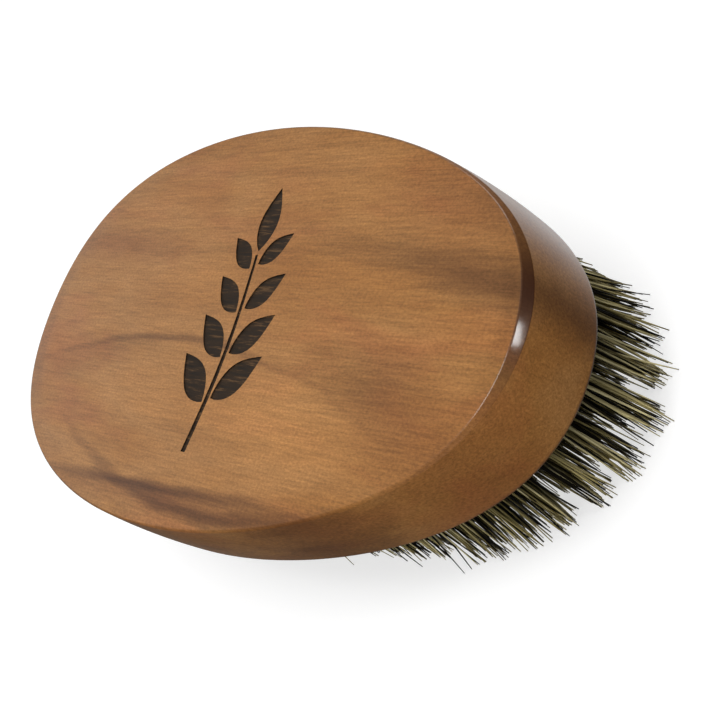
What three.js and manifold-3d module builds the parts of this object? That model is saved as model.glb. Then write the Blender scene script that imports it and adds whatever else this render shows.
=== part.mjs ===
// Oval palm beard brush: a solid wooden block with boar-bristle tufts set in drilled holes.
// Millimetres, +Z up. The brush stands on its bristle tips at z = 0, its length along X,
// with the narrower end at +X.
import * as THREE from 'three';
import { mergeVertices } from 'three/addons/utils/BufferGeometryUtils.js';
import Module from 'manifold-3d';

const wasm = await Module();
wasm.setup();

// The wooden block.
const LENGTH = 100;
const WIDTH = 53.6;
const BLOCK_HEIGHT = 11.6;
const BEVEL_WIDTH = 0.6; // the bevel round the top face, measured across the top
const BEVEL_DROP = 0.8; // and down the side wall
const LOWER_EDGE_ROUND = 1.1;
const WALL_CROWN = 0.2; // how far the side wall swells out at half height
const SQUARENESS = 0.014; // fuller corners than an ellipse
const SHOULDER = 0.004; // pulls the widest part of the corners towards the sides
const EGG = 0.11; // how much narrower than its middle the +X end is, and how much wider the -X end
const OUTLINE_STEPS = 96;

// The bristles.
const BRISTLE_LENGTH = 13.4;
const HOLE_RADIUS = 1.6;
const HOLE_DEPTH = 8;
const FIT_GAP = 0.35;
const TUFT_ROOT_RADIUS = HOLE_RADIUS - FIT_GAP;
const TUFT_SIDES = 6;

// Tufts stand in five ovals round one straight row. The ovals have the outline's shape, their
// tufts lean outwards, and the whole field sits a little towards the +Y side.
const FIELD_OFFSET = 1.2;
const OUTER_OVAL = {
  halfLength: 45.4, halfWidth: 19.6, tufts: 50, lean: 1.2, halfAlong: 2.0, halfAcross: 1.7,
};
const INNER_OVALS = [
  { halfLength: 41.0, halfWidth: 15.8, tufts: 44, lean: 0.9, halfAlong: 3.0, halfAcross: 1.6 },
  { halfLength: 36.6, halfWidth: 12.0, tufts: 38, lean: 0.6, halfAlong: 3.0, halfAcross: 1.6 },
  { halfLength: 32.2, halfWidth: 8.3, tufts: 32, lean: 0.3, halfAlong: 3.0, halfAcross: 1.6 },
  { halfLength: 27.8, halfWidth: 4.6, tufts: 28, lean: 0.15, halfAlong: 3.0, halfAcross: 1.6 },
];
const CENTRE_ROW = { tufts: 7, pitch: 4.5, lean: 0, halfAlong: 3.0, halfAcross: 1.6 };

const WOOD = { color: 0xa9754a, roughness: 0.38, metalness: 0 };
const BRISTLE = { color: 0x4a4436, roughness: 0.75, metalness: 0 };

// The block's plan outline, or a smaller oval of the same kind.
class Oval extends THREE.Curve {
  constructor(halfLength = LENGTH / 2, halfWidth = WIDTH / 2) {
    super();
    this.halfLength = halfLength;
    this.halfWidth = halfWidth;
  }

  getPoint(t, target = new THREE.Vector3()) {
    const angle = 2 * Math.PI * t;
    const corners = SQUARENESS * (1 - Math.cos(4 * angle));
    const shoulders = SHOULDER * (Math.cos(2 * angle) - Math.cos(6 * angle));
    const fullness = 1 + corners + shoulders;
    const taper = 1 - EGG * Math.cos(angle);
    return target.set(
      this.halfLength * Math.cos(angle) * fullness,
      this.halfWidth * Math.sin(angle) * fullness * taper,
      0,
    );
  }

  // The unit normal that points out of the oval at t.
  getNormal(t) {
    const tangent = this.getTangent(t);
    return new THREE.Vector3(tangent.y, -tangent.x, 0);
  }
}

// A solid turned about Z from [radius, height] pairs listed from the bottom up, with its points
// then moved by place(point).
function turned(profile, sides, place) {
  const points = profile.map(([radius, height]) => new THREE.Vector2(radius, height));
  const geometry = new THREE.LatheGeometry(points, sides, Math.PI / 2).rotateX(Math.PI / 2);
  const position = geometry.getAttribute('position');
  const point = new THREE.Vector3();
  for (let i = 0; i < position.count; i++) {
    place(point.fromBufferAttribute(position, i));
    position.setXYZ(i, point.x, point.y, point.z);
  }
  return closed(geometry);
}

// The same surface with its shared points merged, its flat slivers dropped and fresh normals.
function closed(geometry) {
  geometry.deleteAttribute('normal');
  geometry.deleteAttribute('uv');
  const merged = mergeVertices(geometry, 1e-4);
  const corners = Array.from(merged.index.array);
  const kept = [];
  for (let i = 0; i < corners.length; i += 3) {
    const [a, b, c] = corners.slice(i, i + 3);
    if (a !== b && b !== c && c !== a) kept.push(a, b, c);
  }
  merged.setIndex(kept);
  merged.computeVertexNormals();
  return merged;
}

function toManifold(geometry) {
  const vertProperties = new Float32Array(geometry.getAttribute('position').array);
  const triVerts = new Uint32Array(geometry.index.array);
  return new wasm.Manifold(new wasm.Mesh({ numProp: 3, vertProperties, triVerts }));
}

function fromManifold(solid) {
  const { vertProperties, triVerts } = solid.getMesh();
  const geometry = new THREE.BufferGeometry();
  geometry.setAttribute('position', new THREE.BufferAttribute(vertProperties, 3));
  geometry.setIndex(new THREE.BufferAttribute(triVerts, 1));
  geometry.computeVertexNormals();
  return geometry;
}

// The rounded lower edge, as [radius, height] pairs from the underside up to the side wall.
function lowerEdge(radius, bottom) {
  const centre = [radius - LOWER_EDGE_ROUND, bottom + LOWER_EDGE_ROUND];
  const radii = [LOWER_EDGE_ROUND, LOWER_EDGE_ROUND];
  const arc = new THREE.EllipseCurve(...centre, ...radii, -Math.PI / 2, 0);
  return arc.getPoints(3).map(({ x, y }) => [x, y]);
}

// A tuft standing on Z, its flare leaning towards +Y, before it is put in its hole.
function tuftGeometry({ lean, halfAlong, halfAcross }) {
  const profile = [
    [0, 0],
    [1, 0],
    [TUFT_ROOT_RADIUS, BRISTLE_LENGTH],
    [TUFT_ROOT_RADIUS, BRISTLE_LENGTH + HOLE_DEPTH - FIT_GAP],
    [0, BRISTLE_LENGTH + HOLE_DEPTH - FIT_GAP],
  ];
  return turned(profile, TUFT_SIDES, (point) => {
    if (point.z > BRISTLE_LENGTH / 2) return;
    point.x *= halfAlong;
    point.y = point.y * halfAcross + lean;
  });
}

// Where each tuft of an oval stands, evenly spaced along it and turned so that +Y points outwards.
function ovalPlaces({ halfLength, halfWidth, tufts }) {
  const oval = new Oval(halfLength, halfWidth);
  return Array.from({ length: tufts }, (_, i) => {
    const t = oval.getUtoTmapping(i / tufts);
    const { x, y } = oval.getPoint(t);
    const normal = oval.getNormal(t);
    const turn = Math.atan2(normal.y, normal.x) - Math.PI / 2;
    return new THREE.Matrix4().makeRotationZ(turn).setPosition(x, y + FIELD_OFFSET, 0);
  });
}

function rowPlaces({ tufts, pitch }) {
  const middle = (tufts - 1) / 2;
  return Array.from({ length: tufts }, (_, i) => (
    new THREE.Matrix4().makeTranslation((i - middle) * pitch, FIELD_OFFSET, 0)
  ));
}

// Tufts whose tips mingle along one oval or row, as one solid.
function joinedTufts(layout, places) {
  const tuft = tuftGeometry(layout);
  return places
    .map((place) => toManifold(tuft.clone().applyMatrix4(place)))
    .reduce((joined, next) => joined.add(next));
}

// The oval block: flat faces, a bevelled top edge, a rounded lower edge and a slightly crowned
// side wall.
function blockGeometry() {
  const outline = new Oval();
  const half = WIDTH / 2;
  const rim = half - WALL_CROWN;
  const bottom = BRISTLE_LENGTH;
  const top = BRISTLE_LENGTH + BLOCK_HEIGHT;
  const profile = [
    [0, bottom],
    ...lowerEdge(rim, bottom),
    [half, bottom + BLOCK_HEIGHT / 2],
    [rim, top - BEVEL_DROP],
    [rim - BEVEL_WIDTH, top],
    [0, top],
  ];
  return turned(profile, OUTLINE_STEPS, (point) => {
    const radius = Math.hypot(point.x, point.y);
    if (radius < 1e-6) return;
    const t = (Math.atan2(point.y, point.x) / (2 * Math.PI) + 1) % 1;
    const onOutline = outline.getPoint(t).addScaledVector(outline.getNormal(t), radius - half);
    point.x = onOutline.x;
    point.y = onOutline.y;
  });
}

// One blind hole, drilled up into the underside from just below it.
function drillGeometry() {
  const profile = [
    [0, BRISTLE_LENGTH - 1],
    [HOLE_RADIUS, BRISTLE_LENGTH - 1],
    [HOLE_RADIUS, BRISTLE_LENGTH + HOLE_DEPTH],
    [0, BRISTLE_LENGTH + HOLE_DEPTH],
  ];
  return turned(profile, TUFT_SIDES, () => {});
}

function drilledBlock(places) {
  const drill = drillGeometry();
  const holes = places
    .map((place) => toManifold(drill.clone().applyMatrix4(place)))
    .reduce((all, hole) => all.add(hole));
  return fromManifold(toManifold(blockGeometry()).subtract(holes));
}

function addMesh(group, name, geometry, finish) {
  const mesh = new THREE.Mesh(geometry, new THREE.MeshStandardMaterial(finish));
  mesh.name = name;
  group.add(mesh);
  return mesh;
}

const brush = new THREE.Group();
const outerPlaces = ovalPlaces(OUTER_OVAL);
const innerPlaces = INNER_OVALS.map(ovalPlaces);
const centrePlaces = rowPlaces(CENTRE_ROW);

const everyPlace = [outerPlaces, ...innerPlaces, centrePlaces].flat();
addMesh(brush, 'handle', drilledBlock(everyPlace), WOOD);

const outerTuft = tuftGeometry(OUTER_OVAL);
outerPlaces.forEach((place, i) => {
  const number = String(i + 1).padStart(2, '0');
  addMesh(brush, `outer_tuft_${number}`, outerTuft, BRISTLE).applyMatrix4(place);
});

INNER_OVALS.forEach((layout, i) => {
  const solid = joinedTufts(layout, innerPlaces[i]);
  addMesh(brush, `tuft_oval_${i + 2}`, fromManifold(solid), BRISTLE);
});
const centreSolid = joinedTufts(CENTRE_ROW, centrePlaces);
addMesh(brush, 'tuft_centre_row', fromManifold(centreSolid), BRISTLE);

export default brush;
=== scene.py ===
"""Looks of the oval palm beard brush: a lacquered pear-wood block with splayed boar-bristle tufts.

Metres, +Z up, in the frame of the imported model. The brush stands on its bristle tips at z = 0.
"""

import math

import bmesh
import bpy
import numpy as np
from mathutils import Matrix, Vector


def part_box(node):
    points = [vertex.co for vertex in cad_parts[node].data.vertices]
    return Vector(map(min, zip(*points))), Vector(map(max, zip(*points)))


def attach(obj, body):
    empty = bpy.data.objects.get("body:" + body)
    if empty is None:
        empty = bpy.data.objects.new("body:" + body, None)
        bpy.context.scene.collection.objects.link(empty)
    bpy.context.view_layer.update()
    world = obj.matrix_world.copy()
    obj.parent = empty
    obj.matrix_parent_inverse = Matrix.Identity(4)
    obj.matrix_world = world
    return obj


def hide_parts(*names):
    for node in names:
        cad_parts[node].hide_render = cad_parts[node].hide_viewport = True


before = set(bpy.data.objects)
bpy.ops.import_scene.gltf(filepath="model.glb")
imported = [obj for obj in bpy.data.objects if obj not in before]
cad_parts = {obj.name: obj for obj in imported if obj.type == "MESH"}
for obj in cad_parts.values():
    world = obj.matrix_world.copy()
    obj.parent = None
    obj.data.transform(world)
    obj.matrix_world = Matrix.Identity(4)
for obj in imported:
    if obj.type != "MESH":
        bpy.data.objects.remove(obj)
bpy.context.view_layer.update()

MM = 0.001

# The block's plan outline, as in the solid model.
block_low, block_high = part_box("handle")
UNDERSIDE = block_low[2]
TOP = block_high[2]
LENGTH = block_high[0] - block_low[0]
WIDTH = 53.6 * MM
SQUARENESS = 0.014
SHOULDER = 0.004
EGG = 0.11
WALL_CROWN = 0.2 * MM
LOWER_EDGE_ROUND = 1.1 * MM

# The bevel round the palm face is sanded by hand: it widens near +X, a little to the +Y side.
# Its two arrises are rounded, and the palm face falls away a little towards it, as FACE_FALL
# says in (millimetres in from the outline, shares of the edge's crown) pairs.
BEVEL_WIDTH = 0.6 * MM
BEVEL_DROP = 0.8 * MM
BEVEL_SCALES = (0.35, 1.35)  # at its narrowest and widest
WIDEST_BEVEL = math.radians(8)
WIDE_BEVEL_POWER = 14  # the higher, the shorter its wide part
ARRIS_ROUND = 0.30 * MM
EDGE_CROWN = 0.09 * MM
FACE_FALL = [(2.0, 0.55), (2.8, 0.22), (3.8, 0.04), (4.8, 0.0), (6.0, 0.0)]
UNDERSIDE_RIM = 1.2 * MM  # the flat ring between the lower edge and the drilled face
OUTLINE_STEPS = 360
EDGE_STEPS = 8
WALL_STEPS = 12

# The tufts: five ovals of the outline's shape round one straight row. The field of tufts sits a
# little towards +Y. The tufts lean outwards, most of all at the two shoulders of the +X end.
HOLE_RADIUS = 1.5 * MM  # less than the solid model's, so that no two round holes meet
HOLE_DEPTH = 8.0 * MM
HOLE_SIDES = 20
CUT_MARGIN = 1 * MM  # how far a cutter stands out of the face that it cuts
FIELD_OFFSET = 1.2 * MM
COMB = np.array([0.3, -0.3]) * MM  # how far every tip is combed to one side
OVALS = [
    {"size": (45.4 * MM, 19.6 * MM), "tufts": 50, "lean": 1.2 * MM},
    {"size": (41.0 * MM, 15.8 * MM), "tufts": 44, "lean": 0.9 * MM},
    {"size": (36.6 * MM, 12.0 * MM), "tufts": 38, "lean": 0.6 * MM},
    {"size": (32.2 * MM, 8.3 * MM), "tufts": 32, "lean": 0.3 * MM},
    {"size": (27.8 * MM, 4.6 * MM), "tufts": 28, "lean": 0.15 * MM},
]
ROW = {"tufts": 7, "pitch": 4.5 * MM, "lean": 0.0}
TIP_SPREAD = 1.8 * MM
BACK_LEAN = 0.1  # the share of its lean that a tuft has at the -X end
FRONT_LEAN = 1.1  # what the +X end adds to it
SHOULDER_SPLAY = 1.3  # and what the +X end's two shoulders add
SHOULDER_ANGLE = math.radians(50)
SHOULDER_REACH = math.radians(20)

STRANDS_PER_TUFT = 56
STRAND_RADIUS = 0.14 * MM
STRAND_TAPER = 0.62
STRAND_SIDES = 4
STRAND_RINGS = 6
IN_HOLE = 2.5 * MM  # how far the strands run up into their hole

# How much the strands of a tuft differ. A few stray sideways, and some are cut short.
TUFT_WANDER = 0.3 * MM
TUFT_FLARE = (0.8, 1.15)
TUFT_TONE_SHIFT = (-0.12, 0.16)
STRAND_WANDER = 0.33 * MM
STRAND_BOW = 0.22 * MM
STRAY_SHARE = 0.07
STRAY_REACH = 1.4  # millimetres
TRIM_UNEVENNESS = 0.35 * MM
SHORT_SHARE = 0.2
SHORT_BY = (0.5, 4.0)  # millimetres

# The hidden wire staples across the tufts' folds.
STAPLE_HALF = np.array([1.15, 0.14]) * MM
STAPLE_HEIGHT = 1.6 * MM
STAPLE_BELOW_HOLE_END = 3.2 * MM
STAPLE_BEVEL = 0.05 * MM

# The burnt-in mark: a leaf sprig across the middle of the palm face.
MARK_DEPTH = 0.22 * MM
SPRIG_LENGTH = 34 * MM
STEM_SHARE = 0.76  # of the sprig's length
STEM_HALF = 0.48 * MM
STEM_TAPER = 0.45
STEM_BOW = 1.1 * MM
LEAF_PAIRS = 4
LEAF_SIZE = (9.6 * MM, 4.1 * MM)
LEAF_SHRINK = 0.1  # how much smaller each pair is than the one below it
LEAVES_FROM = 0.26  # how far up the stem the first pair is
LEAVES_SPAN = 0.68
LEAF_TURN = math.radians(52)  # away from the stem
LEAF_GAP = (0.75 * MM, 0.3 * MM)
TIP_LEAF_SIZE = (8.6 * MM, 3.9 * MM)
TIP_LEAF_GAP = 0.5 * MM

# The camera, seen from the aim point: its azimuth runs from -Y towards +X.
AIM = Vector((9.8, 0.8, 12.0)) * MM
CAMERA_AZIMUTH = 77.0
CAMERA_ELEVATION = 35.8
CAMERA_ROLL = -62.5
CAMERA_DISTANCE = 178.5 * MM
LENS_MM = 73.3

# The studio, in metres.
FLOOR_HALF = 4.0
FLOOR_TONE = 0.45
FLOOR_GLOW = 0.66
BACKDROP_RADIUS = 3.6
BACKDROP_HEIGHT = 5.0
BACKDROP_BRIGHTNESS = 0.88
DOME_STRENGTH = 0.80
DOME_LEVELS = [(0.0, 0.07), (0.75, 0.24), (1.0, 1.0)]  # (height on a unit dome, brightness)
GLOWS = [
    {"towards": (-0.49, 0.62, -0.61), "tightness": 8.0, "strength": 1.0},
    {"towards": (-0.95, 0.05, 0.31), "tightness": 20.0, "strength": 0.7},
]
LIGHTS = [
    {"name": "key", "place": (0.08, -0.02, 0.62), "size": (0.26, 0.26), "power": 1.80},
    {"name": "rim_box", "place": (0.46, 0.19, 0.31), "size": (0.11, 0.05), "power": 0.46},
    {"name": "far_box", "place": (-0.20, 0.48, 0.30), "size": (0.25, 0.25), "power": 0.5},
    {"name": "near_fill", "place": (0.20, -0.50, 0.16), "size": (0.40, 0.40), "power": 1.5,
     "shines": False},
    {"name": "end_fill", "place": (0.46, 0.26, 0.10), "size": (0.40, 0.30), "power": 0.5,
     "shines": False},
]


# ---------------------------------------------------------------- the outline

def oval_points(angles, size=(LENGTH / 2, WIDTH / 2)):
    """Points of the block's outline, or of a smaller oval of the same kind."""
    corners = SQUARENESS * (1 - np.cos(4 * angles))
    shoulders = SHOULDER * (np.cos(2 * angles) - np.cos(6 * angles))
    fullness = 1 + corners + shoulders
    taper = 1 - EGG * np.cos(angles)
    x = size[0] * np.cos(angles) * fullness
    y = size[1] * np.sin(angles) * fullness * taper
    return np.stack([x, y], axis=1)


def oval_normals(angles, size=(LENGTH / 2, WIDTH / 2)):
    """Unit normals that point out of that oval."""
    step = 1e-4
    along = oval_points(angles + step, size) - oval_points(angles - step, size)
    normals = np.stack([along[:, 1], -along[:, 0]], axis=1)
    return normals / np.linalg.norm(normals, axis=1)[:, None]


def oval_places(size, tufts):
    """(point, outward normal, angle) of each tuft of an oval, evenly spaced along it."""
    angles = np.linspace(0, 2 * np.pi, 4001)
    points = oval_points(angles, size)
    steps = np.linalg.norm(np.diff(points, axis=0), axis=1)
    travelled = np.concatenate([[0], np.cumsum(steps)])
    wanted = np.arange(tufts) * travelled[-1] / tufts
    chosen = np.interp(wanted, travelled, angles)
    centres = oval_points(chosen, size) + (0, FIELD_OFFSET)
    return list(zip(centres, oval_normals(chosen, size), chosen))


def row_places(tufts, pitch):
    middle = (tufts - 1) / 2
    return [
        (np.array([(i - middle) * pitch, FIELD_OFFSET]), np.array([0.0, 1.0]), 0.0)
        for i in range(tufts)
    ]


# ---------------------------------------------------------------- mesh helpers

def new_object(name, vertices, faces):
    mesh = bpy.data.meshes.new(name)
    mesh.from_pydata(vertices, [], faces)
    mesh.update()
    piece = bpy.data.objects.new(name, mesh)
    bpy.context.scene.collection.objects.link(piece)
    return piece


def smooth_by_angle(mesh, degrees):
    """Smooth shading, with the edges sharper than this kept crisp."""
    shell = bmesh.new()
    shell.from_mesh(mesh)
    for face in shell.faces:
        face.smooth = True
    limit = math.radians(degrees)
    for edge in shell.edges:
        edge.smooth = len(edge.link_faces) == 2 and edge.calc_face_angle(0) < limit
    shell.to_mesh(mesh)
    shell.free()


def cut(piece, cutter):
    """Takes the cutter away from the piece; the cut surfaces keep the cutter's material."""
    boolean = piece.modifiers.new("cut", "BOOLEAN")
    boolean.operation = "DIFFERENCE"
    boolean.solver = "EXACT"
    boolean.material_mode = "TRANSFER"
    boolean.object = cutter
    depsgraph = bpy.context.evaluated_depsgraph_get()
    result = bpy.data.meshes.new_from_object(piece.evaluated_get(depsgraph))
    piece.modifiers.clear()
    piece.data = result
    bpy.data.objects.remove(cutter)


def prisms(name, outlines, low, high):
    """Upright prisms on closed outlines, as one object."""
    vertices = []
    faces = []
    for outline in outlines:
        count = len(outline)
        first = len(vertices)
        vertices += [(x, y, low) for x, y in outline]
        vertices += [(x, y, high) for x, y in outline]
        faces.append([first + i for i in reversed(range(count))])
        faces.append([first + count + i for i in range(count)])
        for i in range(count):
            j = (i + 1) % count
            faces.append([first + i, first + j, first + count + j, first + count + i])
    return new_object(name, vertices, faces)


# ---------------------------------------------------------------- material helpers

class Nodes:
    """A short way to write a material's node tree."""

    def __init__(self, name):
        self.material = bpy.data.materials.new(name)
        self.material.use_nodes = True
        self.tree = self.material.node_tree
        self.shader = self.tree.nodes["Principled BSDF"]

    def add(self, kind, **settings):
        node = self.tree.nodes.new(kind)
        for key, value in settings.items():
            setattr(node, key, value)
        return node

    def link(self, source, target):
        self.tree.links.new(source, target)

    def paint(self, colour, mean):
        """Links the base colour, with its mean as the socket's own value."""
        base = self.shader.inputs["Base Color"]
        base.default_value = (*mean, 1)
        self.link(colour, base)

    def put(self, socket, value):
        """Links an output to a socket, or sets the socket's own value."""
        if isinstance(value, bpy.types.NodeSocket):
            self.link(value, socket)
        else:
            socket.default_value = value

    def math(self, operation, a, b=0.0, clamp=False):
        node = self.add("ShaderNodeMath", operation=operation, use_clamp=clamp)
        self.put(node.inputs[0], a)
        self.put(node.inputs[1], b)
        return node.outputs[0]

    def stretched(self, scales, turn=0.0):
        """Object coordinates times a scale along each axis, then turned about Z by some degrees."""
        place = self.add("ShaderNodeTexCoord")
        mapping = self.add("ShaderNodeMapping")
        self.link(place.outputs["Object"], mapping.inputs["Vector"])
        mapping.inputs["Rotation"].default_value = (0, 0, math.radians(turn))
        mapping.inputs["Scale"].default_value = scales
        return mapping.outputs[0]

    def noise(self, vector, detail=3.0, roughness=0.5, distortion=0.0):
        node = self.add("ShaderNodeTexNoise")
        self.link(vector, node.inputs["Vector"])
        node.inputs["Scale"].default_value = 1.0
        node.inputs["Detail"].default_value = detail
        node.inputs["Roughness"].default_value = roughness
        node.inputs["Distortion"].default_value = distortion
        return node.outputs["Fac"]

    def ramp(self, factor, stops):
        """A colour ramp from (position, value or colour) stops."""
        node = self.add("ShaderNodeValToRGB")
        self.link(factor, node.inputs["Fac"])
        ramp = node.color_ramp
        while len(ramp.elements) < len(stops):
            ramp.elements.new(0.5)
        for element, (position, colour) in zip(ramp.elements, stops):
            element.position = position
            if isinstance(colour, (int, float)):
                colour = (colour, colour, colour)
            element.color = (*colour, 1)
        return node.outputs["Color"]

    def mix(self, factor, a, b, blend="MIX"):
        node = self.add("ShaderNodeMix", data_type="RGBA", blend_type=blend)
        self.put(node.inputs[0], factor)
        for socket, value in ((node.inputs[6], a), (node.inputs[7], b)):
            if isinstance(value, tuple):
                value = (*value, 1)
            self.put(socket, value)
        return node.outputs[2]

    def bump(self, height, strength, distance):
        node = self.add("ShaderNodeBump")
        self.link(height, node.inputs["Height"])
        node.inputs["Strength"].default_value = strength
        node.inputs["Distance"].default_value = distance
        return node.outputs["Normal"]


def tone(red, green, blue):
    """A colour given as 0 to 255 on screen, as the light values that shaders take."""
    def linear(value):
        value /= 255
        return value / 12.92 if value <= 0.04045 else ((value + 0.055) / 1.055) ** 2.4
    return (linear(red), linear(green), linear(blue))


# ---------------------------------------------------------------- materials

TAN = tone(163, 111, 58)
TAN_PALE = tone(170, 120, 68)
TAN_DEEP = tone(153, 101, 50)
TAN_RED = tone(163, 100, 57)
TAN_BRIGHT = tone(202, 145, 84)
HEART_RED = tone(118, 66, 36)
HEART_BROWN = tone(84, 49, 24)
PORE_BROWN = tone(104, 68, 42)
# The next colour darkens the bevel: partly darker end grain, partly painted shade and painted
# reflection.
EDGE_SHADE_BROWN = tone(50, 21, 4)
NOISE_TURN = 6.5  # degrees that the noise behind the grain is turned; the grain runs along X
STREAK_WANDER = (8, 2.2, 0)  # millimetres that the streaks' edges wander, along and across
# Where the painted shade and painted reflection darken the bevel, and how strongly:
EDGE_SHADE_TURN = math.radians(20)  # where the bevel is darkest, from +X towards +Y
EDGE_SHADE_BASE = 0.30  # its share all round the bevel
EDGE_SHADE_ENDS = 0.70  # what the darkest places add

# The figure in the wood, in millimetres from the block's middle: the middle of each streak, its
# half length and half width, its turn in degrees, its bow (drop per square millimetre along it),
# its strength, and its colour.
FIGURE = [
    {"middle": (15, -12), "half": (18, 7), "turn": -5, "strength": 0.42, "colour": TAN_BRIGHT},
    {"middle": (-12, -12), "half": (18, 4), "turn": 0, "strength": 0.22, "colour": TAN_BRIGHT},
    {"middle": (-10, 5), "half": (20, 3), "turn": -4, "strength": 0.20, "colour": TAN_BRIGHT},
    {"middle": (-36, 10.5), "half": (26, 3.4), "turn": -3, "strength": 0.48, "colour": HEART_RED},
    {"middle": (37, 15), "half": (20, 7), "turn": -8, "strength": 0.46, "colour": HEART_RED},
    {"middle": (40, -10), "half": (16, 7), "turn": -16, "strength": 0.36, "colour": HEART_RED},
    {"middle": (2, -23.2), "half": (38, 2.4), "turn": 1, "strength": 0.45, "colour": HEART_RED},
    {"middle": (31, 8.4), "half": (26, 3.0), "turn": -8, "strength": 0.46, "colour": HEART_BROWN},
    {"middle": (45, 6.2), "half": (18, 3.8), "turn": -8, "strength": 0.62, "colour": HEART_BROWN},
    {"middle": (-10, -2.8), "half": (42, 0.9), "turn": 0, "bow": 0.0043, "strength": 0.60,
     "colour": HEART_BROWN},
    {"middle": (-28, -6), "half": (16, 3.4), "turn": 12, "strength": 0.20, "colour": HEART_BROWN},
    {"middle": (29, -5.6), "half": (15, 5.0), "turn": -8, "strength": 0.34,
     "colour": HEART_BROWN},
    {"middle": (-5, -22.0), "half": (34, 1.2), "turn": 1.5, "strength": 0.90,
     "colour": HEART_BROWN},
    {"middle": (6, -24.0), "half": (42, 1.4), "turn": 0, "bow": -0.0056, "strength": 0.80,
     "colour": HEART_BROWN},
    {"middle": (2, 20), "half": (24, 1.0), "turn": -3, "strength": 0.20, "colour": HEART_BROWN},
]


def streak(nodes, place, middle, half, turn, strength, bow=0.0):
    """A soft streak in the wood: its strength at its middle, 0 outside."""
    turned = nodes.add("ShaderNodeMapping")
    nodes.link(place, turned.inputs["Vector"])
    angle = math.radians(-turn)
    c, w = math.cos(angle), math.sin(angle)
    turned.inputs["Rotation"].default_value = (0, 0, angle)
    turned.inputs["Location"].default_value = (
        -(middle[0] * c - middle[1] * w), -(middle[0] * w + middle[1] * c), 0,
    )
    parts = nodes.add("ShaderNodeSeparateXYZ")
    nodes.link(turned.outputs[0], parts.inputs[0])
    along, across = parts.outputs["X"], parts.outputs["Y"]
    if bow:
        drop = nodes.math("MULTIPLY", nodes.math("MULTIPLY", along, along), bow)
        across = nodes.math("ADD", across, drop)
    along = nodes.math("DIVIDE", along, half[0])
    across = nodes.math("DIVIDE", across, half[1])
    squares = nodes.math(
        "ADD", nodes.math("MULTIPLY", along, along), nodes.math("MULTIPLY", across, across)
    )
    return nodes.ramp(squares, [(0.0, strength), (0.25, 0.6 * strength), (1.0, 0.0)])


def wandering(nodes, millimetres):
    """The place moved a little by slow noise, so that the streaks' edges wander."""
    slow = nodes.add("ShaderNodeMapping")
    nodes.link(millimetres, slow.inputs["Vector"])
    slow.inputs["Scale"].default_value = (0.07, 0.30, 0.30)
    wander = nodes.add("ShaderNodeTexNoise")
    nodes.link(slow.outputs[0], wander.inputs["Vector"])
    wander.inputs["Scale"].default_value = 1.0
    wander.inputs["Detail"].default_value = 5
    centred = nodes.add("ShaderNodeVectorMath", operation="SUBTRACT")
    nodes.link(wander.outputs["Color"], centred.inputs[0])
    centred.inputs[1].default_value = (0.5, 0.5, 0.5)
    moved = nodes.add("ShaderNodeVectorMath", operation="MULTIPLY_ADD")
    nodes.link(centred.outputs[0], moved.inputs[0])
    moved.inputs[1].default_value = STREAK_WANDER
    nodes.link(millimetres, moved.inputs[2])
    return moved.outputs[0]


def end_grain_and_painted_edge_shade(nodes):
    """How far the bevel is darkened: painted shade and painted reflection, with darker end grain,
    only where it slopes, most of all near the block's ends.
    """
    geometry = nodes.add("ShaderNodeNewGeometry")
    parts = nodes.add("ShaderNodeSeparateXYZ")
    nodes.link(geometry.outputs["Normal"], parts.inputs[0])
    level = nodes.math("ABSOLUTE", parts.outputs["Z"])
    level_square = nodes.math("MULTIPLY", level, level)
    slope = nodes.math("SQRT", nodes.math("SUBTRACT", 1.0, level_square, clamp=True))
    sloping = nodes.ramp(slope, [
        (0.0, 0.0), (0.03, 0.20), (0.08, 0.34), (0.35, 0.80), (0.75, 0.90), (0.90, 1.0),
        (0.995, 0.0),
    ])
    towards = nodes.add("ShaderNodeVectorMath", operation="DOT_PRODUCT")
    nodes.link(geometry.outputs["Normal"], towards.inputs[0])
    towards.inputs[1].default_value = (math.cos(EDGE_SHADE_TURN), math.sin(EDGE_SHADE_TURN), 0)
    end_grain = nodes.math("POWER", nodes.math("ABSOLUTE", towards.outputs["Value"]), 2.0)
    slope_square = nodes.math("MAXIMUM", nodes.math("MULTIPLY", slope, slope), 0.0004)
    facing = nodes.math("POWER", nodes.math("DIVIDE", end_grain, slope_square), 3.0)
    at_ends = nodes.math("MULTIPLY", facing, EDGE_SHADE_ENDS)
    strength = nodes.math("ADD", at_ends, EDGE_SHADE_BASE, clamp=True)
    return nodes.math("MULTIPLY", sloping, strength)


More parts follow.
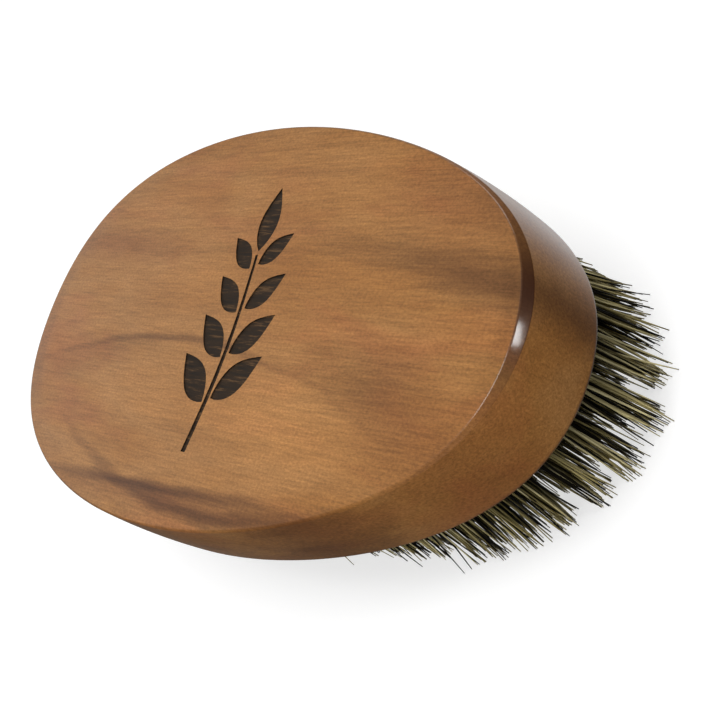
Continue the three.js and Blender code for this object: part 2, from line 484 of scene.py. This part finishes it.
def wood_material():
    """Lacquered pear wood: broad tones, heartwood streaks, fibres, pores, and a bevel darkened
    partly by its end grain and partly by painted shade and painted reflection.
    """
    nodes = Nodes("pear_wood")
    millimetres = nodes.stretched((1 / MM,) * 3)

    def grain(along, across, **settings):
        """Noise drawn out along the grain, its frequencies given per millimetre."""
        mapping = nodes.add("ShaderNodeMapping")
        nodes.link(millimetres, mapping.inputs["Vector"])
        mapping.inputs["Rotation"].default_value = (0, 0, math.radians(NOISE_TURN))
        mapping.inputs["Scale"].default_value = (along, across, across)
        return nodes.noise(mapping.outputs[0], **settings)

    broad = grain(0.020, 0.075, detail=3)
    colour = nodes.ramp(broad, [
        (0.28, TAN_DEEP), (0.42, TAN), (0.55, TAN_PALE), (0.66, TAN), (0.80, TAN_RED),
    ])
    blush = nodes.ramp(grain(0.035, 0.11, detail=4, distortion=0.8), [(0.50, 0.0), (0.72, 0.6)])
    colour = nodes.mix(blush, colour, TAN_RED)

    bands = grain(0.016, 0.42, detail=4, roughness=0.6, distortion=0.5)
    band_shade = nodes.ramp(bands, [(0.30, 0.84), (0.50, 1.0), (0.72, 0.93)])
    colour = nodes.mix(1.0, colour, band_shade, "MULTIPLY")

    place = wandering(nodes, millimetres)
    for figure in FIGURE:
        shape = {key: value for key, value in figure.items() if key != "colour"}
        colour = nodes.mix(streak(nodes, place, **shape), colour, figure["colour"])

    fibre = grain(0.25, 4.5, detail=3, roughness=0.6)
    fibre_shade = nodes.ramp(fibre, [(0.30, 0.78), (0.70, 1.17)])
    colour = nodes.mix(1.0, colour, fibre_shade, "MULTIPLY")
    speckle = grain(2.2, 3.4, detail=2, roughness=0.7)
    speckle_shade = nodes.ramp(speckle, [(0.32, 0.80), (0.68, 1.17)])
    colour = nodes.mix(1.0, colour, speckle_shade, "MULTIPLY")
    pores = grain(1.3, 9.0, detail=2, roughness=0.6)
    pore_mask = nodes.ramp(pores, [(0.24, 0.5), (0.36, 0.0)])
    colour = nodes.mix(pore_mask, colour, PORE_BROWN)

    # Painted shade and painted reflection on the bevel, partly its darker end grain.
    colour = nodes.mix(end_grain_and_painted_edge_shade(nodes), colour, EDGE_SHADE_BROWN)
    nodes.paint(colour, TAN)

    smudge = nodes.noise(nodes.stretched((110,) * 3), 4, 0.6)
    nodes.link(nodes.ramp(smudge, [(0.3, 0.40), (0.7, 0.54)]), nodes.shader.inputs["Roughness"])
    fibre_height = nodes.math("MULTIPLY", fibre, 0.6)
    pore_height = nodes.math("MULTIPLY", pores, 0.4)
    height = nodes.math("ADD", fibre_height, pore_height)
    nodes.link(nodes.bump(height, 0.30, 0.03 * MM), nodes.shader.inputs["Normal"])
    nodes.shader.inputs["Specular IOR Level"].default_value = 0.12
    nodes.shader.inputs["Coat Weight"].default_value = 0.68
    nodes.shader.inputs["Coat Roughness"].default_value = 0.13
    nodes.shader.inputs["Coat IOR"].default_value = 1.5
    return nodes.material


def raw_wood_material():
    """Bare wood inside the drilled holes."""
    nodes = Nodes("drilled_wood")
    grain = nodes.noise(nodes.stretched((900, 4000, 4000)), 3)
    colour = nodes.ramp(grain, [(0.3, tone(92, 62, 40)), (0.7, tone(128, 90, 58))])
    nodes.paint(colour, tone(110, 76, 49))
    nodes.shader.inputs["Roughness"].default_value = 0.8
    nodes.link(nodes.bump(grain, 0.4, 0.05 * MM), nodes.shader.inputs["Normal"])
    return nodes.material


def burnt_material():
    """Charred wood in the mark, paler where its grain still shows."""
    nodes = Nodes("burnt_mark")
    char = nodes.noise(nodes.stretched((260, 3200, 3200), NOISE_TURN), 4, 0.65)
    colour = nodes.ramp(char, [
        (0.30, tone(24, 18, 12)), (0.55, tone(50, 37, 25)), (0.72, tone(110, 82, 54)),
    ])
    nodes.paint(colour, tone(44, 33, 22))
    nodes.link(nodes.ramp(char, [(0.3, 0.6), (0.7, 0.85)]), nodes.shader.inputs["Roughness"])
    nodes.link(nodes.bump(char, 0.5, 0.06 * MM), nodes.shader.inputs["Normal"])
    nodes.shader.inputs["Specular IOR Level"].default_value = 0.25
    return nodes.material


def bristle_material():
    """Boar bristle: each strand has its own tone; painted shade makes it near-black at its root,
    and it grows paler towards its tip.
    """
    nodes = Nodes("boar_bristle")
    strand = nodes.add("ShaderNodeAttribute", attribute_name="strand_tone").outputs["Fac"]
    along = nodes.add("ShaderNodeAttribute", attribute_name="along").outputs["Fac"]
    body = nodes.ramp(strand, [
        (0.00, tone(16, 14, 11)),
        (0.38, tone(32, 28, 20)),
        (0.46, tone(124, 112, 70)),
        (0.75, tone(188, 173, 116)),
        (1.00, tone(242, 230, 178)),
    ])
    # Painted shade along each strand: darkest at the root beside the wood, with the tip painted a
    # little lighter than the strand's own tone.
    painted_root_shade = nodes.ramp(along, [(0.0, 0.10), (0.42, 0.42), (0.78, 1.0), (1.0, 1.12)])
    colour = nodes.mix(1.0, body, painted_root_shade, "MULTIPLY")
    mottle = nodes.noise(nodes.stretched((900, 900, 260)), 3, 0.6)
    mottle_shade = nodes.ramp(mottle, [(0.3, 0.7), (0.7, 1.2)])
    colour = nodes.mix(1.0, colour, mottle_shade, "MULTIPLY")
    nodes.paint(colour, tone(96, 89, 64))
    nodes.link(nodes.ramp(mottle, [(0.3, 0.38), (0.7, 0.6)]), nodes.shader.inputs["Roughness"])
    nodes.link(nodes.bump(mottle, 0.3, 0.02 * MM), nodes.shader.inputs["Normal"])
    nodes.shader.inputs["Specular IOR Level"].default_value = 0.12
    return nodes.material


def anchor_material():
    nodes = Nodes("anchor_wire")
    scratches = nodes.noise(nodes.stretched((400, 9000, 9000)), 3)
    colour = nodes.ramp(scratches, [(0.3, (0.42, 0.40, 0.37)), (0.7, (0.62, 0.60, 0.56))])
    nodes.paint(colour, (0.52, 0.50, 0.46))
    nodes.link(nodes.ramp(scratches, [(0.3, 0.28), (0.7, 0.45)]), nodes.shader.inputs["Roughness"])
    nodes.shader.inputs["Metallic"].default_value = 1.0
    return nodes.material


# ---------------------------------------------------------------- the block

def arc(centre, radius, start, end, steps):
    """(inset, height) points on an arc, where the inset is measured in from the outline."""
    angles = np.radians(np.linspace(start, end, steps + 1))
    return [(centre[0] - radius * math.cos(a), centre[1] + radius * math.sin(a)) for a in angles]


def block_profile(bevel_scale):
    """(inset, height) points of the block's side, from the underside up to the palm face."""
    bevel_width, bevel_drop = BEVEL_WIDTH * bevel_scale, BEVEL_DROP * bevel_scale
    facet = math.degrees(math.atan2(BEVEL_WIDTH, BEVEL_DROP))
    low_reach = ARRIS_ROUND * math.tan(math.radians(facet / 2))
    high_reach = ARRIS_ROUND * math.tan(math.radians((90 - facet) / 2))
    rim = TOP - EDGE_CROWN
    lower = (WALL_CROWN + LOWER_EDGE_ROUND, UNDERSIDE + LOWER_EDGE_ROUND)
    outer_arris = (WALL_CROWN + ARRIS_ROUND, rim - bevel_drop - low_reach)
    inner_arris = (WALL_CROWN + bevel_width + high_reach, rim - ARRIS_ROUND)
    wall = [
        (WALL_CROWN * (2 * s - 1) ** 2, lower[1] + (outer_arris[1] - lower[1]) * s)
        for s in np.linspace(0, 1, WALL_STEPS + 1)[1:-1]
    ]
    return (
        [(lower[0] + UNDERSIDE_RIM, UNDERSIDE)]
        + arc(lower, LOWER_EDGE_ROUND, -90, 0, EDGE_STEPS)
        + wall
        + arc(outer_arris, ARRIS_ROUND, 0, facet, EDGE_STEPS)
        + arc(inner_arris, ARRIS_ROUND, facet, 90, EDGE_STEPS)
        + [(inset * MM, TOP - drop * EDGE_CROWN) for inset, drop in FACE_FALL]
    )


def block_piece():
    angles = np.linspace(0, 2 * np.pi, OUTLINE_STEPS, endpoint=False)
    narrow, wide = BEVEL_SCALES
    widening = ((1 + np.cos(angles - WIDEST_BEVEL)) / 2) ** WIDE_BEVEL_POWER
    scales = narrow + (wide - narrow) * widening
    profiles = np.array([block_profile(scale) for scale in scales])
    rings = profiles.shape[1]
    plan = oval_points(angles)[:, None] - profiles[:, :, :1] * oval_normals(angles)[:, None]
    vertices = np.concatenate([plan, profiles[:, :, 1:]], axis=2).swapaxes(0, 1).reshape(-1, 3)
    faces = [list(reversed(range(OUTLINE_STEPS)))]
    for level in range(rings - 1):
        here = level * OUTLINE_STEPS
        for i in range(OUTLINE_STEPS):
            j = (i + 1) % OUTLINE_STEPS
            above = here + OUTLINE_STEPS
            faces.append([here + i, here + j, above + j, above + i])
    faces.append([(rings - 1) * OUTLINE_STEPS + i for i in range(OUTLINE_STEPS)])
    block = new_object("wooden_block", vertices.tolist(), faces)
    block.data.materials.append(wood_material())
    return block


def hole_cutter(places):
    turns = np.linspace(0, 2 * np.pi, HOLE_SIDES, endpoint=False)
    circle = HOLE_RADIUS * np.stack([np.cos(turns), np.sin(turns)], axis=1)
    outlines = [circle + place[0] for place in places]
    cutter = prisms("hole_cutter", outlines, UNDERSIDE - CUT_MARGIN, UNDERSIDE + HOLE_DEPTH)
    cutter.data.materials.append(raw_wood_material())
    return cutter


# ---------------------------------------------------------------- the burnt mark

def leaf_outline(foot, turn, length, width, points=14):
    """A pointed leaf: two curves from its foot to its tip, widest a little below its middle."""
    s = np.linspace(0, 1, points)
    swell = width / 2 * np.sin(np.pi * s ** 0.85)
    right = np.stack([length * s, -swell], axis=1)
    left = np.stack([length * s, swell], axis=1)[::-1][1:-1]
    shape = np.concatenate([right, left])
    c, w = math.cos(turn), math.sin(turn)
    return shape @ np.array([[c, w], [-w, c]]) + foot


def sprig_outlines():
    """A stem along Y with pairs of leaves and one at its tip, with small gaps between them."""
    start = -SPRIG_LENGTH / 2
    stem_end = start + SPRIG_LENGTH * STEM_SHARE
    steps = np.linspace(0, 1, 16)
    stem_y = start + (stem_end - start) * steps
    bow = STEM_BOW * np.sin(np.pi * steps)
    half = STEM_HALF * (1 - STEM_TAPER * steps)
    stem = np.concatenate([
        np.stack([bow + half, stem_y], axis=1),
        np.stack([bow - half, stem_y], axis=1)[::-1],
    ])
    outlines = [stem]
    for i in range(LEAF_PAIRS):
        s = LEAVES_FROM + LEAVES_SPAN * i / (LEAF_PAIRS - 1)
        size = 1 - LEAF_SHRINK * i
        for side in (-1, 1):
            foot = np.array([
                STEM_BOW * math.sin(math.pi * s) + side * LEAF_GAP[0],
                start + (stem_end - start) * s + side * LEAF_GAP[1],
            ])
            turn = math.pi / 2 - side * LEAF_TURN
            outlines.append(leaf_outline(foot, turn, LEAF_SIZE[0] * size, LEAF_SIZE[1] * size))
    tip_foot = np.array([0.0, stem_end + TIP_LEAF_GAP])
    outlines.append(leaf_outline(tip_foot, math.pi / 2, *TIP_LEAF_SIZE))
    return outlines


def mark_cutter():
    cutter = prisms("mark_cutter", sprig_outlines(), TOP - MARK_DEPTH, TOP + CUT_MARGIN)
    cutter.data.materials.append(burnt_material())
    return cutter


# ---------------------------------------------------------------- the tufts

def outward_lean(lean, angle):
    """A tuft's lean at this angle round its oval, with more of it at the +X shoulders."""
    from_shoulder = abs(math.remainder(angle, 2 * math.pi)) - SHOULDER_ANGLE
    splay = SHOULDER_SPLAY * math.exp(-(from_shoulder / SHOULDER_REACH) ** 2)
    return lean * (BACK_LEAN + FRONT_LEAN * math.cos(angle / 2) ** 2 + splay)


def tuft_strands(random, place, layout):
    """Paths of one tuft's strands as (strand, ring, xyz), and each strand's tone."""
    point, normal, angle = place
    tangent = np.array([normal[1], -normal[0]])
    count = STRANDS_PER_TUFT
    turn = random.uniform(0, 2 * np.pi, count)
    reach = np.sqrt(random.uniform(0, 1, count))
    disc = np.stack([reach * np.cos(turn), reach * np.sin(turn)], axis=1)

    root = disc * (HOLE_RADIUS - STRAND_RADIUS)
    wander = random.normal(0, STRAND_WANDER, (count, 2))
    stray = random.uniform(0, 1, count) < STRAY_SHARE
    wander[stray] += random.uniform(-STRAY_REACH, STRAY_REACH, (stray.sum(), 2)) * MM
    shared = random.normal(0, TUFT_WANDER, 2) + (0, outward_lean(layout["lean"], angle))
    flare = random.uniform(*TUFT_FLARE)
    tip = disc * TIP_SPREAD * flare + wander + shared
    tip_height = np.abs(random.normal(0, TRIM_UNEVENNESS, count))
    short = random.uniform(0, 1, count) < SHORT_SHARE
    tip_height[short] += random.uniform(*SHORT_BY, short.sum()) * MM

    s = np.linspace(0, 1, STRAND_RINGS)
    top = UNDERSIDE + IN_HOLE
    height = top + (tip_height[:, None] - top) * s[None, :]
    below = np.clip((UNDERSIDE - height) / UNDERSIDE, 0, None)
    bow = random.normal(0, STRAND_BOW, (count, 1, 2)) * np.sin(np.pi * below)[:, :, None]
    bent = (below ** 1.25)[:, :, None]
    local = root[:, None, :] + (tip - root)[:, None, :] * bent + bow
    flat = point + local[:, :, :1] * tangent + local[:, :, 1:] * normal + COMB * bent
    paths = np.concatenate([flat, height[:, :, None]], axis=2)

    tones = np.clip(random.uniform(0, 1, count) + random.uniform(*TUFT_TONE_SHIFT), 0, 1)
    return paths, tones


def strands_mesh(name, paths, tones):
    """Thin tapered strands along the paths, closed at both ends, with tone and place along each."""
    count, rings, _ = paths.shape
    sides = STRAND_SIDES
    turns = np.arange(sides) * 2 * np.pi / sides
    circle = np.stack([np.cos(turns), np.sin(turns), np.zeros(sides)], axis=1)
    s = np.linspace(0, 1, rings)
    radius = STRAND_RADIUS * (1.0 - STRAND_TAPER * s ** 2.2)
    thick = 0.8 + 0.45 * ((tones * 7.31) % 1)  # differs from strand to strand
    ring_points = circle[None, None] * radius[None, :, None, None] * thick[:, None, None, None]
    vertices = (paths[:, :, None, :] + ring_points).reshape(-1, 3)

    one = []
    for ring in range(rings - 1):
        here, above = ring * sides, (ring + 1) * sides
        for i in range(sides):
            j = (i + 1) % sides
            one.append([here + i, above + i, above + j, here + j])
    one.append(list(range(sides)))
    one.append([(rings - 1) * sides + i for i in reversed(range(sides))])
    one = np.array(one)
    faces = (one[None] + (np.arange(count) * rings * sides)[:, None, None]).reshape(-1, 4)

    piece = new_object(name, vertices.tolist(), faces.tolist())
    mesh = piece.data
    mesh.polygons.foreach_set("use_smooth", np.ones(len(mesh.polygons), bool))
    along = mesh.attributes.new("along", "FLOAT", "POINT")
    along.data.foreach_set("value", np.tile(np.repeat(s, sides), count))
    strand_tone = mesh.attributes.new("strand_tone", "FLOAT", "POINT")
    strand_tone.data.foreach_set("value", np.repeat(tones, rings * sides))
    return piece


def tuft_piece(name, places, layout, seed, material):
    random = np.random.default_rng(seed)
    parts = [tuft_strands(random, place, layout) for place in places]
    paths = np.concatenate([part[0] for part in parts])
    tones = np.concatenate([part[1] for part in parts])
    piece = strands_mesh(name, paths, tones)
    piece.data.materials.append(material)
    return piece


def anchors_piece(places):
    """The flat wire staples that hold each tuft's fold at the bottom of its hole."""
    half = STAPLE_HALF
    corners = [(-1, -1), (1, -1), (1, 1), (-1, 1)]
    outlines = []
    for point, normal, _ in places:
        tangent = np.array([normal[1], -normal[0]])
        outlines.append([point + a * half[0] * tangent + b * half[1] * normal for a, b in corners])
    low = UNDERSIDE + HOLE_DEPTH - STAPLE_BELOW_HOLE_END
    staples = prisms("tuft_anchors", outlines, low, low + STAPLE_HEIGHT)
    staples.data.materials.append(anchor_material())
    bevel = staples.modifiers.new("bevel", "BEVEL")
    bevel.width = STAPLE_BEVEL
    bevel.segments = 2
    return staples


# ---------------------------------------------------------------- the scene

def add_light(name, place, size, power, shines=True):
    """A soft box that faces the brush; one that doesn't shine is left out of reflections."""
    data = bpy.data.lights.new(name, "AREA")
    data.shape = "RECTANGLE"
    data.size, data.size_y = size
    data.energy = power
    light = bpy.data.objects.new(name, data)
    bpy.context.scene.collection.objects.link(light)
    light.visible_glossy = shines
    light.location = place
    light.rotation_euler = (AIM - Vector(place)).to_track_quat("-Z", "Y").to_euler()


def add_camera():
    data = bpy.data.cameras.new("camera")
    data.lens = LENS_MM
    data.sensor_width = 36
    data.clip_start = 0.01
    camera = bpy.data.objects.new("camera", data)
    bpy.context.scene.collection.objects.link(camera)
    azimuth, elevation = math.radians(CAMERA_AZIMUTH), math.radians(CAMERA_ELEVATION)
    back = Vector((
        math.sin(azimuth) * math.cos(elevation),
        -math.cos(azimuth) * math.cos(elevation),
        math.sin(elevation),
    ))
    level = (-back).to_track_quat("-Z", "Y").to_matrix()
    roll = Matrix.Rotation(math.radians(CAMERA_ROLL), 3, "Z")
    camera.rotation_euler = (level @ roll).to_euler()
    camera.location = AIM + back * CAMERA_DISTANCE
    bpy.context.scene.camera = camera


def add_floor():
    """A pale floor that glows a little, so that the brush's shadow on it stays faint."""
    half = FLOOR_HALF
    corners = [(-half, -half, 0), (half, -half, 0), (half, half, 0), (-half, half, 0)]
    floor = new_object("floor", corners, [[0, 1, 2, 3]])
    nodes = Nodes("pale_floor")
    nodes.shader.inputs["Base Color"].default_value = (FLOOR_TONE, FLOOR_TONE, FLOOR_TONE, 1)
    nodes.shader.inputs["Roughness"].default_value = 1.0
    nodes.shader.inputs["Specular IOR Level"].default_value = 0.0
    nodes.shader.inputs["Emission Color"].default_value = (1, 1, 1, 1)
    nodes.shader.inputs["Emission Strength"].default_value = FLOOR_GLOW
    floor.data.materials.append(nodes.material)
    floor.visible_diffuse = False
    floor.visible_glossy = False


def add_backdrop():
    """A plain pale wall far behind, seen by the camera only, so that low views stay plain."""
    turns = np.linspace(0, 2 * np.pi, 64, endpoint=False)
    circle = BACKDROP_RADIUS * np.stack([np.cos(turns), np.sin(turns)], axis=1)
    count = len(circle)
    vertices = [(x, y, z) for z in (0.0, BACKDROP_HEIGHT) for x, y in circle]
    faces = [[i, (i + 1) % count, count + (i + 1) % count, count + i] for i in range(count)]
    backdrop = new_object("backdrop", vertices, faces)
    nodes = Nodes("pale_backdrop")
    nodes.shader.inputs["Base Color"].default_value = (0, 0, 0, 1)
    nodes.shader.inputs["Specular IOR Level"].default_value = 0.0
    nodes.shader.inputs["Emission Color"].default_value = (1, 1, 1, 1)
    nodes.shader.inputs["Emission Strength"].default_value = BACKDROP_BRIGHTNESS
    backdrop.data.materials.append(nodes.material)
    backdrop.visible_diffuse = False
    backdrop.visible_glossy = False
    backdrop.visible_shadow = False


def add_world():
    """A soft grey dome, brightest overhead and dark below the horizon, with two soft glows."""
    world = bpy.data.worlds.new("studio")
    bpy.context.scene.world = world
    world.use_nodes = True
    tree = world.node_tree
    background = tree.nodes["Background"]
    background.inputs["Strength"].default_value = DOME_STRENGTH
    place = tree.nodes.new("ShaderNodeTexCoord")
    parts = tree.nodes.new("ShaderNodeSeparateXYZ")
    tree.links.new(place.outputs["Generated"], parts.inputs[0])
    ramp = tree.nodes.new("ShaderNodeValToRGB")
    tree.links.new(parts.outputs["Z"], ramp.inputs["Fac"])
    stops = ramp.color_ramp.elements
    stops.new(0.75)
    for stop, (position, level) in zip(stops, DOME_LEVELS):
        stop.position, stop.color = position, (level, level, level, 1)
    total = ramp.outputs["Color"]
    for glow in GLOWS:
        dot = tree.nodes.new("ShaderNodeVectorMath")
        dot.operation = "DOT_PRODUCT"
        tree.links.new(place.outputs["Generated"], dot.inputs[0])
        dot.inputs[1].default_value = Vector(glow["towards"]).normalized()
        near = tree.nodes.new("ShaderNodeMath")
        near.operation = "MAXIMUM"
        tree.links.new(dot.outputs["Value"], near.inputs[0])
        near.inputs[1].default_value = 0.0
        fall = tree.nodes.new("ShaderNodeMath")
        fall.operation = "POWER"
        tree.links.new(near.outputs[0], fall.inputs[0])
        fall.inputs[1].default_value = glow["tightness"]
        add = tree.nodes.new("ShaderNodeMath")
        add.operation = "MULTIPLY_ADD"
        tree.links.new(fall.outputs[0], add.inputs[0])
        add.inputs[1].default_value = glow["strength"]
        tree.links.new(total, add.inputs[2])
        total = add.outputs[0]
    tree.links.new(total, background.inputs["Color"])


add_camera()

outer_places = oval_places(OVALS[0]["size"], OVALS[0]["tufts"])
inner_places = [oval_places(layout["size"], layout["tufts"]) for layout in OVALS[1:]]
centre_places = row_places(ROW["tufts"], ROW["pitch"])
every_place = outer_places + sum(inner_places, []) + centre_places

block = block_piece()
cut(block, hole_cutter(every_place))
cut(block, mark_cutter())
smooth_by_angle(block.data, 30)
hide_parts("handle")
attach(block, "root")

bristle = bristle_material()
for number, place in enumerate(outer_places, start=1):
    tuft = tuft_piece(f"bristles_outer_{number:02d}", [place], OVALS[0], number, bristle)
    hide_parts(f"outer_tuft_{number:02d}")
    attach(tuft, "root")
for number, (places, layout) in enumerate(zip(inner_places, OVALS[1:]), start=2):
    tufts = tuft_piece(f"bristles_oval_{number}", places, layout, 100 + number, bristle)
    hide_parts(f"tuft_oval_{number}")
    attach(tufts, "root")
row = tuft_piece("bristles_centre_row", centre_places, ROW, 200, bristle)
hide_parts("tuft_centre_row")
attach(row, "root")

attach(anchors_piece(every_place), "root")

add_floor()
add_backdrop()
add_world()
for light in LIGHTS:
    add_light(**light)
bpy.context.scene.view_settings.view_transform = "Standard"
